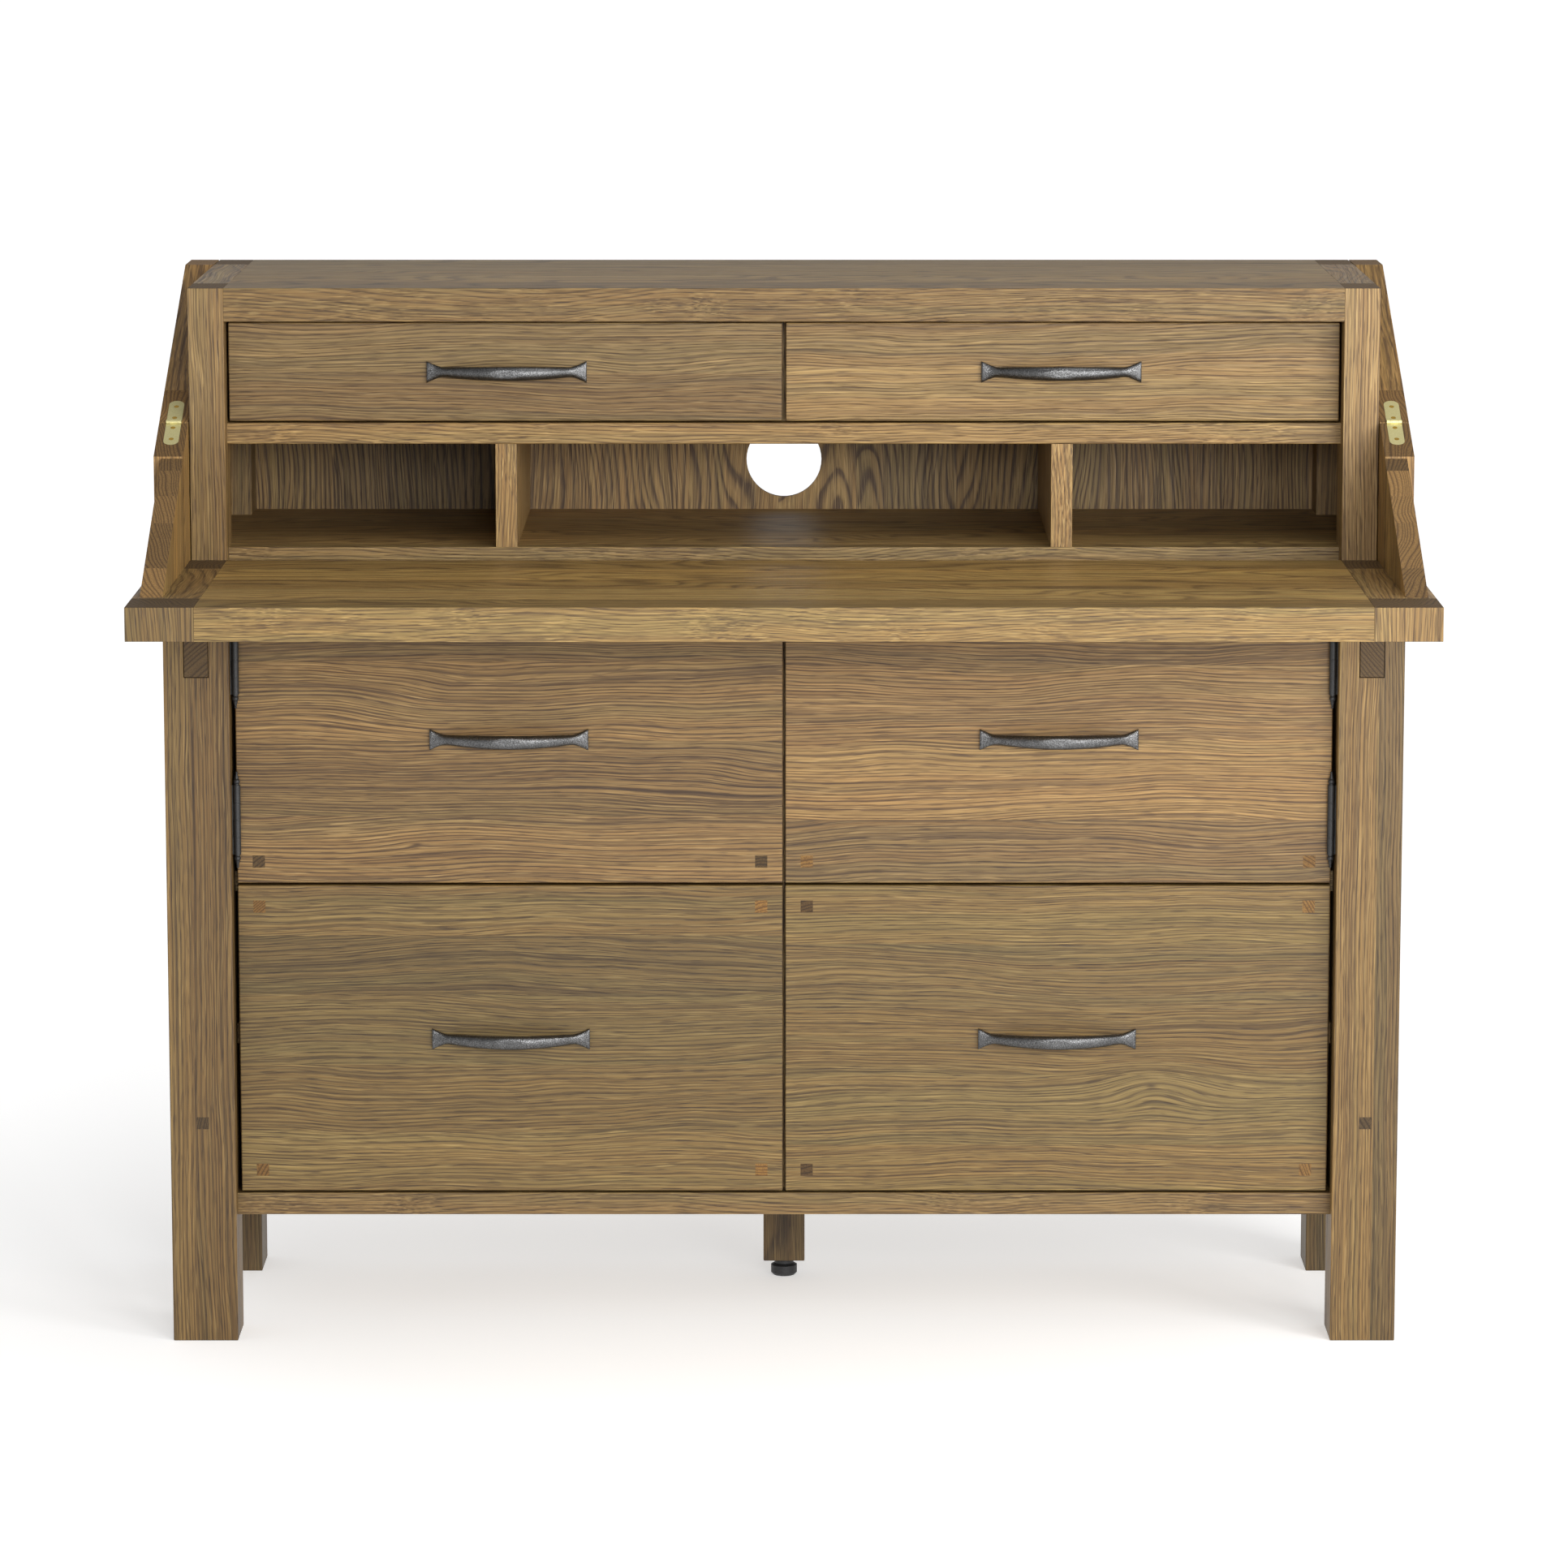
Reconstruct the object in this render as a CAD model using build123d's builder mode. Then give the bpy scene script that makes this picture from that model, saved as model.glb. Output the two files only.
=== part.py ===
from build123d import *
import os
from math import cos, radians, sin, tan

# Secretary desk with a flip-over writing top, in millimetres.
# X runs to the right, Y to the back and Z up. The origin is on the floor, midway across the
# width and midway through the depth of the desk with its top open.

os.makedirs("parts", exist_ok=True)

# Driving dimensions: the whole desk
half_width = 600.0
cabinet_depth = 354.0
top_reach = 346.0  # how far the open top stands in front of the cabinet
front = (top_reach - cabinet_depth) / 2  # the plane of the legs' and posts' front faces
rear = front + cabinet_depth
edge_round = 1.2  # hand-sanded free edges
joint_round = 0.4  # edges that meet another board
glue_line = 0.1  # joint between two boards of one glued group

# Base
leg_size = 63.5
leg_height = 741.0
leg_inner = half_width - leg_size
rear_leg_front = rear - leg_size
leg_peg_z = 218.5
front_recess = 18.0  # doors and file drawers sit this far behind the legs' front faces
front_thick = 20.0
front_gap = 4.0  # from a door or file drawer front to the leg
center_gap = 1.2  # half the gap between left and right fronts
bottom_z = 123.0
bottom_thick = 22.0
carcass_back = front + 338.0
back_panel_thick = 8.0
partition_half = 10.0
shelf_bottom = 442.0
shelf_thick = 20.0
catch_length = 40.0
catch_depth = 15.0
catch_height = 14.0
inner_side_thick = 16.0
side_frame_outer = 598.0
side_frame_thick = 15.0
side_panel_inset = 2.5
bottom_rail_top = 203.0
top_rail_bottom = 671.0
carcass_front = front + front_recess + front_thick + 2.0  # partition and shelf stand behind the fronts
center_leg_size = 42.0
center_leg_y = front + 278.0
center_leg_bottom = 18.5
deck_thick = 20.0
deck_top = leg_height + deck_thick

# Doors and file drawers
door_bottom = 454.0
door_top = 737.0
file_bottom = 147.0
file_top = 451.5
front_inner = center_gap
front_outer = leg_inner - front_gap
peg_size = 12.0
peg_depth = 14.0
peg_inset = 21.0
file_box_bottom = 165.0
file_box_top = 425.0
file_side_thick = 16.0
file_base_thick = 9.0
box_bottom_lift = 8.0  # a drawer's bottom sits this far above its sides' lower edges
box_side_gap = 2.0
runner_z = (290.0, 310.0)
runner_reach = 10.0
groove_depth = runner_reach - 1.5
groove_play = 0.5

# Pull-out supports under the flip top
loper_x = 568.3
loper_width = 23.0
loper_bottom = 659.0
loper_height = 81.5
loper_length = 286.0
loper_clearance = 0.75
loper_stop_y = front + 274.0
loper_stop_z = 700.0
loper_stop_radius = 4.0
loper_stop_length = 28.0
loper_guide_thick = 18.0

# Hutch
post_inner = 537.0
post_outer = 571.0
post_depth = 58.0
rear_post_front = rear - 61.0
hutch_side_inner = 558.0  # the side panels stand back from the posts' inner faces
hutch_side_outer = 567.0
hutch_top_z = 1035.0
hutch_top_thick = 32.0
hutch_top_bottom = hutch_top_z - hutch_top_thick
hutch_recess = 27.0
hutch_back = front + 344.0
hutch_back_thick = 6.0
hutch_floor_top = 782.4
hutch_shelf_bottom = 882.5
hutch_shelf_top = 903.0
divider_half = 10.35
divider_x = 268.3
cable_hole_radius = 38.0
cable_hole_z = 833.0
hutch_drawer_recess = 25.0
hutch_drawer_bottom = 905.0
hutch_drawer_top = 1000.0
hutch_drawer_inner = 1.7
hutch_drawer_outer = 534.9
hutch_box_top = 988.0
hutch_side_thick = 12.0
hutch_base_thick = 6.0

# Side wings, fixed behind the parting plane and moving in front of it
wing_inner = 572.0
wing_slope = 24.1  # degrees
slope_z = 905.8  # height of the slope at the hinge line
wing_rail_depth = 66.0
wing_stile_width = 57.0
wing_bottom_rail_top = 811.0
wing_panel_inset = 6.0
wing_panel_thick = 14.0
parting_gap = 1.0
hinge_y = front - parting_gap / 2
hinge_lift = 0.75  # hinge axis above the slope face
hinge_z = slope_z + hinge_lift / cos(radians(wing_slope))

# Flip top
top_bottom = 741.5
top_surface = 773.0
top_front = front - top_reach
top_rear = front - parting_gap
block_depth = 63.5
top_stile_front = front - 59.0
top_panel_thick = 21.0
top_panel_drop = 2.0  # below the slope line at its upper end
top_panel_toe = front - 276.0  # where the side panels meet the writing surface

# Brass flap hinges, let into the slopes
flap_x = 585.8
leaf_width = 14.5
leaf_length = 42.0
leaf_thick = 2.0
flap_knuckle = 2.3
flap_knuckle_width = 7.7
flap_pin = 1.1
flap_screws = (9.5, 31.0)
screw_head = 2.4
screw_shank = 1.3
screw_length = 14.0
seat_clearance = 0.15
knuckle_room = hinge_lift + leaf_thick + 0.2  # radius cut away round the hinge axis

# Black butt hinges of the doors
butt_x = 531.7
butt_y = front + 14.0
butt_heights = (517.0, 674.0)
butt_length = 68.4
butt_radius = 3.6
butt_pin = 1.6
butt_leaf_thick = 1.5
butt_leaf_back = front + 38.0
running_clearance = 0.05
end_play = 0.2
finial_collar = (2.6, 1.2)  # radius and height
finial_ball = 3.2
finial_ball_rise = 3.6
finial_cone = (2.3, 1.0, 5.0)  # radius at the ball, radius at the tip, length
finial_cone_rise = 8.7
finial_tip = 1.3
finial_tip_rise = 12.2

# Pulls
pull_x = 267.0
pull_half = 77.0
pull_foot = 62.0
pull_reach = 26.0
pull_bar = 6.5
pull_end_half = 9.8
pull_neck_x = 57.0
pull_neck_half = 4.9
pull_mid_half = 6.3
pull_shoulder_half = 6.2

# Levelling glide
glide_radius = 13.3
glide_neck_radius = 9.8
glide_rim = 2.5
glide_shoulder = 10.5
glide_foot_top = 12.5
glide_neck_top = 18.0
glide_stud = 4.0
glide_stud_top = 62.0

slope_plane = Plane(
    origin=(0, hinge_y, hinge_z),
    x_dir=(1, 0, 0),
    z_dir=(0, -sin(radians(wing_slope)), cos(radians(wing_slope))),
)


def save(piece, name):
    """Label a finished piece and write its STEP file."""
    piece.part.label = name
    export_step(piece.part, f"parts/{name}.step")


def board(x, y, z, mode=Mode.ADD):
    """Add a straight board to the piece being built, from its spans along X, Y and Z."""
    with Locations(((x[0] + x[1]) / 2, (y[0] + y[1]) / 2, (z[0] + z[1]) / 2)):
        Box(abs(x[1] - x[0]), y[1] - y[0], z[1] - z[0], mode=mode)


def slope_height(y):
    """Height of the wings' slope line at a given depth."""
    return slope_z + tan(radians(wing_slope)) * (y - hinge_y)


def wing_board(x_low, thick, outline):
    """Add a board cut to an outline of (y, z) points, on both sides of the desk."""
    with BuildSketch(Plane.YZ.offset(x_low)) as profile:
        with BuildLine():
            Polyline(*outline, close=True)
        make_face()
    extrude(profile.sketch, amount=thick)
    mirror(about=Plane.YZ)


def pegs(x_low, x_high, z_low, z_high, y_face, mode=Mode.ADD):
    """Four square pegs near the corners of a front, flush with its face."""
    middle = ((x_low + x_high) / 2, y_face + peg_depth / 2, (z_low + z_high) / 2)
    across = abs(x_high - x_low) - 2 * peg_inset
    up = z_high - z_low - 2 * peg_inset
    for dx in (-across / 2, across / 2):
        for dz in (-up / 2, up / 2):
            with Locations((middle[0] + dx, middle[1], middle[2] + dz)):
                Box(peg_size, peg_depth, peg_size, mode=mode)


def pull(x, y_face, z):
    """A bowed bar pull with fishtail ends, standing out of a front."""
    with BuildSketch(Plane((x, y_face, z - pull_half))) as bow:
        with BuildLine():
            ThreePointArc((-pull_half, -pull_bar / 2), (0, -pull_reach), (pull_half, -pull_bar / 2))
            Polyline((pull_half, -pull_bar / 2), (pull_half, 0), (pull_foot, 0))
            ThreePointArc((pull_foot, 0), (0, pull_bar - pull_reach), (-pull_foot, 0))
            Polyline((-pull_foot, 0), (-pull_half, 0), (-pull_half, -pull_bar / 2))
        make_face()
    extrude(bow.sketch, amount=2 * pull_half)
    shoulder = (pull_half + pull_neck_x) / 2
    upper = (
        (pull_half, pull_end_half),
        (shoulder, pull_shoulder_half),
        (pull_neck_x, pull_neck_half),
        (0, pull_mid_half),
        (-pull_neck_x, pull_neck_half),
        (-shoulder, pull_shoulder_half),
        (-pull_half, pull_end_half),
    )
    lower = tuple((-px, -pz) for px, pz in upper)
    with BuildSketch(Plane((x, y_face, z), x_dir=(1, 0, 0), z_dir=(0, -1, 0))) as fishtail:
        with BuildLine():
            Spline(*upper)
            Line(upper[-1], lower[0])
            Spline(*lower)
            Line(lower[-1], upper[0])
        make_face()
    extrude(fishtail.sketch, amount=pull_reach, mode=Mode.INTERSECT)


def drawer_box(x, y, z, side_thick, base_thick):
    """Two sides, an inner front, a back and a bottom, as separate boards."""
    low, high = min(x), max(x)
    inner = (low + side_thick + glue_line, high - side_thick - glue_line)
    board((low, low + side_thick), y, z)
    board((high - side_thick, high), y, z)
    board(inner, (y[0], y[0] + side_thick), z)
    board(inner, (y[1] - side_thick, y[1]), z)
    inside = (y[0] + side_thick + glue_line, y[1] - side_thick - glue_line)
    base = z[0] + box_bottom_lift
    board(inner, inside, (base, base + base_thick))


# Legs

for side, sign in (("left", -1), ("right", 1)):
    with BuildPart() as front_leg:
        board((sign * leg_inner, sign * half_width), (front, front + leg_size), (0, leg_height))
        fillet(front_leg.edges(), edge_round)
        slot_half = loper_width / 2 + loper_clearance
        board(
            (sign * loper_x - slot_half, sign * loper_x + slot_half),
            (front - 1, front + leg_size + 1),
            (loper_bottom - loper_clearance, leg_height + 1),
            mode=Mode.SUBTRACT,
        )
        with Locations((sign * loper_x, front + peg_depth / 2, leg_peg_z)):
            Box(peg_size, peg_depth, peg_size, mode=Mode.SUBTRACT)
    save(front_leg, f"leg_front_{side}")

with BuildPart() as rear_legs:
    board((leg_inner, half_width), (rear_leg_front, rear), (0, leg_height))
    mirror(about=Plane.YZ)
    fillet(rear_legs.edges(), edge_round)
save(rear_legs, "rear_legs")

with BuildPart() as leg_pegs:
    with Locations((loper_x, front + peg_depth / 2, leg_peg_z)):
        Box(peg_size, peg_depth, peg_size)
    mirror(about=Plane.YZ)
save(leg_pegs, "leg_pegs")

# Base carcass

between_legs = (front + leg_size, rear_leg_front)
side_frame_inner = side_frame_outer - side_frame_thick

with BuildPart() as base_side_frames:
    board((side_frame_inner, side_frame_outer), between_legs, (bottom_z, bottom_rail_top))
    board((side_frame_inner, side_frame_outer), between_legs, (top_rail_bottom, leg_height))
    board(
        (side_frame_inner + side_panel_inset, side_frame_outer - side_panel_inset),
        between_legs,
        (bottom_rail_top + glue_line, top_rail_bottom - glue_line),
    )
    mirror(about=Plane.YZ)
save(base_side_frames, "base_side_frames")

with BuildPart() as base_inner_sides:
    board((leg_inner, leg_inner + inner_side_thick), between_legs, (bottom_z, leg_height))
    mirror(about=Plane.YZ)
save(base_inner_sides, "base_inner_sides")

with BuildPart() as base_bottom_board:
    board(
        (-leg_inner, leg_inner),
        (front + front_recess, carcass_back),
        (bottom_z, bottom_z + bottom_thick),
    )
    fillet(base_bottom_board.edges().filter_by(Axis.X), edge_round)
save(base_bottom_board, "base_bottom_board")

with BuildPart() as base_back_panel:
    board(
        (-leg_inner, leg_inner),
        (carcass_back, carcass_back + back_panel_thick),
        (bottom_z, leg_height),
    )
save(base_back_panel, "base_back_panel")

with BuildPart() as base_partition:
    board(
        (-partition_half, partition_half),
        (carcass_front, carcass_back),
        (bottom_z + bottom_thick, leg_height),
    )
save(base_partition, "base_partition")

with BuildPart() as base_mid_shelves:
    board(
        (partition_half, leg_inner),
        (carcass_front, carcass_back),
        (shelf_bottom, shelf_bottom + shelf_thick),
    )
    mirror(about=Plane.YZ)
save(base_mid_shelves, "base_mid_shelves")

with BuildPart() as deck_board:
    board((-half_width, half_width), (front, rear), (leg_height, deck_top))
    fillet(deck_board.edges(), joint_round)
save(deck_board, "deck_board")

with BuildPart() as center_leg:
    with Locations((0, center_leg_y, (center_leg_bottom + bottom_z) / 2)):
        Box(center_leg_size, center_leg_size, bottom_z - center_leg_bottom)
    fillet(center_leg.edges(), edge_round)
    with BuildSketch(Plane.XY.offset(center_leg_bottom)):
        with Locations((0, center_leg_y)):
            Circle(glide_stud + running_clearance)
    extrude(amount=glide_stud_top - center_leg_bottom + 2, mode=Mode.SUBTRACT)
save(center_leg, "center_leg")

with BuildPart() as levelling_glide:
    with BuildSketch(Plane.YZ):
        with BuildLine():
            Polyline(
                (center_leg_y, 0),
                (center_leg_y + glide_radius - glide_rim, 0),
                (center_leg_y + glide_radius, glide_rim),
                (center_leg_y + glide_radius, glide_shoulder),
                (center_leg_y + glide_neck_radius, glide_foot_top),
                (center_leg_y + glide_neck_radius, glide_neck_top),
                (center_leg_y + glide_stud, glide_neck_top),
                (center_leg_y + glide_stud, glide_stud_top),
                (center_leg_y, glide_stud_top),
                close=True,
            )
        make_face()
    revolve(axis=Axis((0, center_leg_y, 0), (0, 0, 1)))
save(levelling_glide, "levelling_glide")

# Guides for what slides in the base

with BuildPart() as loper_guides:
    board(
        (leg_inner + inner_side_thick, side_frame_inner),
        between_legs,
        (loper_bottom - loper_clearance - loper_guide_thick, loper_bottom - loper_clearance),
    )
    mirror(about=Plane.YZ)
save(loper_guides, "loper_guides")

runner_y = (carcass_front + 1.0, carcass_back - 2.0)

with BuildPart() as drawer_runners:
    board((partition_half, partition_half + runner_reach), runner_y, runner_z)
    board((leg_inner - runner_reach, leg_inner), runner_y, runner_z)
    mirror(about=Plane.YZ)
save(drawer_runners, "drawer_runners")

with BuildPart() as door_catches:
    board(
        (partition_half + front_gap, partition_half + front_gap + catch_length),
        (carcass_front, carcass_front + catch_depth),
        (leg_height - catch_height, leg_height),
    )
    mirror(about=Plane.YZ)
save(door_catches, "door_catches")

# Hutch

with BuildPart() as hutch_posts:
    board((post_inner, post_outer), (front, front + post_depth), (deck_top, hutch_top_z))
    board((post_inner, post_outer), (rear_post_front, rear), (deck_top, hutch_top_z))
    mirror(about=Plane.YZ)
    fillet(hutch_posts.edges(), joint_round)
save(hutch_posts, "hutch_posts")

between_posts = (front + post_depth, rear_post_front)

with BuildPart() as hutch_side_panels:
    board((post_inner, post_outer), between_posts, (hutch_top_bottom, hutch_top_z))
    board(
        (hutch_side_inner, hutch_side_outer),
        between_posts,
        (deck_top, hutch_top_bottom - glue_line),
    )
    mirror(about=Plane.YZ)
save(hutch_side_panels, "hutch_side_panels")

with BuildPart() as hutch_top:
    board((-post_inner, post_inner), (front, rear), (hutch_top_bottom, hutch_top_z))
    fillet(hutch_top.edges(), joint_round)
save(hutch_top, "hutch_top")

inside_hutch = (front + hutch_recess, hutch_back)

with BuildPart() as hutch_shelf:
    board((-post_inner, post_inner), inside_hutch, (hutch_shelf_bottom, hutch_shelf_top))
    fillet(hutch_shelf.edges().filter_by(Axis.X), edge_round)
    board((-hutch_side_inner, hutch_side_inner), between_posts, (hutch_shelf_bottom, hutch_shelf_top))
save(hutch_shelf, "hutch_shelf")

with BuildPart() as hutch_floor:
    board((-post_inner, post_inner), inside_hutch, (deck_top, hutch_floor_top))
    fillet(hutch_floor.edges().filter_by(Axis.X), edge_round)
    board((-hutch_side_inner, hutch_side_inner), between_posts, (deck_top, hutch_floor_top))
save(hutch_floor, "hutch_floor")

with BuildPart() as hutch_dividers:
    for x in (-divider_x, divider_x):
        board((x - divider_half, x + divider_half), inside_hutch, (hutch_floor_top, hutch_shelf_bottom))
    drawer_back = front + hutch_drawer_recess + front_thick
    board((-divider_half, divider_half), (drawer_back + 1, hutch_back), (hutch_shelf_top, hutch_top_bottom))
    fillet(hutch_dividers.edges().filter_by(Axis.Z), joint_round)
save(hutch_dividers, "hutch_dividers")

with BuildPart() as hutch_back_panel:
    board(
        (-post_inner, post_inner),
        (hutch_back, hutch_back + hutch_back_thick),
        (deck_top, hutch_top_bottom),
    )
    with BuildSketch(Plane.XZ.offset(-hutch_back)):
        with Locations((0, cable_hole_z)):
            Circle(cable_hole_radius)
    extrude(amount=-hutch_back_thick, mode=Mode.SUBTRACT)
save(hutch_back_panel, "hutch_back_panel")

# Fixed side wings


def leaf_outline(direction, grow=0.0):
    """Outline of one flap hinge leaf on each side, seen square to the slope."""
    straight = leaf_length - leaf_width / 2
    for sign in (-1, 1):
        with Locations((sign * flap_x, direction * straight / 2)):
            Rectangle(leaf_width + 2 * grow, straight)
        with Locations((sign * flap_x, direction * straight)):
            Circle(leaf_width / 2 + grow)


def on_flap_axis(x, radius, width, mode=Mode.ADD):
    """A cylinder on the flip top's hinge axis."""
    with Locations((x, hinge_y, hinge_z)):
        Cylinder(radius, width, rotation=(0, 90, 0), mode=mode)


def at_flap_screws(direction, radius, start, depth, mode=Mode.ADD):
    """A cylinder at each screw of one pair of leaves, from a depth below the leaf's face."""
    with BuildSketch(slope_plane.offset(-hinge_lift - start)) as circles:
        for sign in (-1, 1):
            for along in flap_screws:
                with Locations((sign * flap_x, direction * along)):
                    Circle(radius)
    extrude(circles.sketch, amount=-depth, mode=mode)


def flap_hinge_seat(direction):
    """Cut the seats of the flap hinges and their screws out of a pair of stiles."""
    with BuildSketch(slope_plane.offset(-hinge_lift - leaf_thick)) as seat:
        leaf_outline(direction, seat_clearance)
    extrude(seat.sketch, amount=4 * leaf_thick, mode=Mode.SUBTRACT)
    for sign in (-1, 1):
        on_flap_axis(
            sign * flap_x,
            knuckle_room,
            leaf_width + 2 * seat_clearance,
            mode=Mode.SUBTRACT,
        )
    at_flap_screws(direction, screw_shank + running_clearance, 0, screw_length + 1, mode=Mode.SUBTRACT)


front_stile_back = front + wing_stile_width
slope_end = hinge_y + (hutch_top_z - slope_z) / tan(radians(wing_slope))

with BuildPart() as wing_stiles:
    wing_board(
        wing_inner,
        half_width - wing_inner,
        (
            (front, deck_top),
            (front_stile_back, deck_top),
            (front_stile_back, slope_height(front_stile_back)),
            (front, slope_height(front)),
        ),
    )
    board((wing_inner, half_width), (rear_post_front, rear), (deck_top, hutch_top_z))
    board((-half_width, -wing_inner), (rear_post_front, rear), (deck_top, hutch_top_z))
    fillet(wing_stiles.edges().filter_by(Axis.Z), joint_round)
    flap_hinge_seat(1)
save(wing_stiles, "wing_stiles")

with BuildPart() as wing_rails:
    wing_board(
        wing_inner,
        half_width - wing_inner,
        (
            (front_stile_back, slope_height(front_stile_back) - wing_rail_depth),
            (rear_post_front, hutch_top_z - wing_rail_depth),
            (rear_post_front, hutch_top_z),
            (slope_end, hutch_top_z),
            (front_stile_back, slope_height(front_stile_back)),
        ),
    )
    board((wing_inner, half_width), (front_stile_back, rear_post_front), (deck_top, wing_bottom_rail_top))
    board((-half_width, -wing_inner), (front_stile_back, rear_post_front), (deck_top, wing_bottom_rail_top))
save(wing_rails, "wing_rails")

with BuildPart() as wing_panels:
    wing_board(
        wing_inner + wing_panel_inset,
        wing_panel_thick,
        (
            (front_stile_back, wing_bottom_rail_top),
            (rear_post_front, wing_bottom_rail_top),
            (rear_post_front, hutch_top_z - wing_rail_depth),
            (front_stile_back, slope_height(front_stile_back) - wing_rail_depth),
        ),
    )
save(wing_panels, "wing_panels")

# Flip top

with BuildPart() as worktop_panel:
    board((-post_inner, post_inner), (top_front, top_rear), (top_bottom, top_surface))
    fillet(worktop_panel.edges(), joint_round)
save(worktop_panel, "worktop_panel")

with BuildPart() as worktop_end_rails:
    between_blocks = (top_front + block_depth, top_rear - block_depth)
    board((post_inner, half_width), between_blocks, (top_bottom, top_surface))
    mirror(about=Plane.YZ)
    fillet(worktop_end_rails.edges(), joint_round)
save(worktop_end_rails, "worktop_end_rails")

with BuildPart() as worktop_corner_blocks:
    board((post_inner, half_width), (top_front, top_front + block_depth), (top_bottom, top_surface))
    board((post_inner, half_width), (top_rear - block_depth, top_rear), (top_bottom, top_surface))
    mirror(about=Plane.YZ)
    fillet(worktop_corner_blocks.edges(), joint_round)
save(worktop_corner_blocks, "worktop_corner_blocks")

with BuildPart() as top_wing_stiles:
    wing_board(
        wing_inner,
        half_width - wing_inner,
        (
            (top_stile_front, top_surface),
            (top_rear, top_surface),
            (top_rear, slope_height(top_rear)),
            (top_stile_front, slope_height(top_stile_front)),
        ),
    )
    fillet(top_wing_stiles.edges().filter_by(Axis.Z), joint_round)
    flap_hinge_seat(-1)
save(top_wing_stiles, "top_wing_stiles")

with BuildPart() as top_wing_panels:
    wing_board(
        wing_inner,
        top_panel_thick,
        (
            (top_stile_front, top_surface),
            (top_stile_front, slope_height(top_stile_front) - top_panel_drop),
            (top_panel_toe, top_surface),
        ),
    )
save(top_wing_panels, "top_wing_panels")

# Flap hinges: the fixed leaves carry the outer knuckles and the pin, the moving ones the middle

leaf_root = flap_knuckle + 0.3
outer_knuckle = (leaf_width - flap_knuckle_width) / 2 - end_play


def flap_leaf(direction, knuckles):
    """One leaf on each side, with knuckles at the given (centre, width) along the axis."""
    with BuildSketch(slope_plane.offset(-hinge_lift - leaf_thick)) as plate:
        leaf_outline(direction)
        for sign in (-1, 1):
            with Locations((sign * flap_x, 0)):
                Rectangle(2 * leaf_width, 2 * leaf_root, mode=Mode.SUBTRACT)
            for middle, width in knuckles:
                with Locations((sign * flap_x + middle, direction * leaf_root / 2)):
                    Rectangle(width, leaf_root)
    extrude(plate.sketch, amount=leaf_thick)
    for sign in (-1, 1):
        for middle, width in knuckles:
            on_flap_axis(sign * flap_x + middle, flap_knuckle, width)
        on_flap_axis(sign * flap_x, flap_pin + running_clearance, leaf_width, mode=Mode.SUBTRACT)
    at_flap_screws(direction, screw_shank + running_clearance, 0, leaf_thick, mode=Mode.SUBTRACT)
    at_flap_screws(direction, screw_head + running_clearance, 0, leaf_thick / 2, mode=Mode.SUBTRACT)


def flap_screw_set(direction):
    """The screws of one pair of leaves, heads flush with the leaf."""
    at_flap_screws(direction, screw_head, 0, leaf_thick / 2)
    at_flap_screws(direction, screw_shank, leaf_thick / 2, screw_length - leaf_thick / 2)


outer_knuckles = (
    (outer_knuckle / 2 - leaf_width / 2, outer_knuckle),
    (leaf_width / 2 - outer_knuckle / 2, outer_knuckle),
)

with BuildPart() as flap_fixed_leaves:
    flap_leaf(1, outer_knuckles)
    for sign in (-1, 1):
        on_flap_axis(sign * flap_x, flap_pin, leaf_width)
save(flap_fixed_leaves, "flap_hinge_fixed_leaves")

with BuildPart() as flap_fixed_screws:
    flap_screw_set(1)
save(flap_fixed_screws, "flap_hinge_fixed_screws")

with BuildPart() as flap_moving_leaves:
    flap_leaf(-1, ((0, flap_knuckle_width),))
save(flap_moving_leaves, "flap_hinge_moving_leaves")

with BuildPart() as flap_moving_screws:
    flap_screw_set(-1)
save(flap_moving_screws, "flap_hinge_moving_screws")

# Hutch drawers

for side, sign in (("left", -1), ("right", 1)):
    front_span = (sign * hutch_drawer_inner, sign * hutch_drawer_outer)
    front_face = front + hutch_drawer_recess
    with BuildPart() as drawer_front:
        board(front_span, (front_face, drawer_back), (hutch_drawer_bottom, hutch_drawer_top))
        fillet(drawer_front.edges(), edge_round)
    save(drawer_front, f"hutch_drawer_front_{side}")

    with BuildPart() as box:
        drawer_box(
            (sign * (divider_half + box_side_gap), sign * (post_inner - box_side_gap)),
            (drawer_back, hutch_back - 9.0),
            (hutch_shelf_top + 1.0, hutch_box_top),
            hutch_side_thick,
            hutch_base_thick,
        )
    save(box, f"hutch_drawer_box_{side}")

    with BuildPart() as drawer_pull:
        pull(sign * pull_x, front_face, (hutch_drawer_bottom + hutch_drawer_top) / 2)
    save(drawer_pull, f"hutch_drawer_pull_{side}")

# Doors, with their black hinges

front_face = front + front_recess
front_back = front_face + front_thick
knuckle = butt_length / 4


def on_butt_axis(sign, radius, low, height, mode=Mode.ADD):
    """A cylinder on a door's hinge axis."""
    with Locations((sign * butt_x, butt_y, low + height / 2)):
        Cylinder(radius, height, mode=mode)


def butt_leaf(sign, leaf_x, first):
    """Two leaves of one door, each with every other knuckle, counted from the given one."""
    for middle in butt_heights:
        low = middle - butt_length / 2
        board(leaf_x, (butt_y, butt_leaf_back), (low + end_play, low + butt_length - end_play))
        for index in range(4):
            z = low + index * knuckle
            if index % 2 == first:
                on_butt_axis(sign, butt_radius, z + end_play / 2, knuckle - end_play)
            else:
                room = butt_radius + 2 * end_play
                on_butt_axis(sign, room, z - end_play / 2, knuckle + end_play, mode=Mode.SUBTRACT)
        on_butt_axis(sign, butt_pin + running_clearance, low, butt_length, mode=Mode.SUBTRACT)


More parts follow.
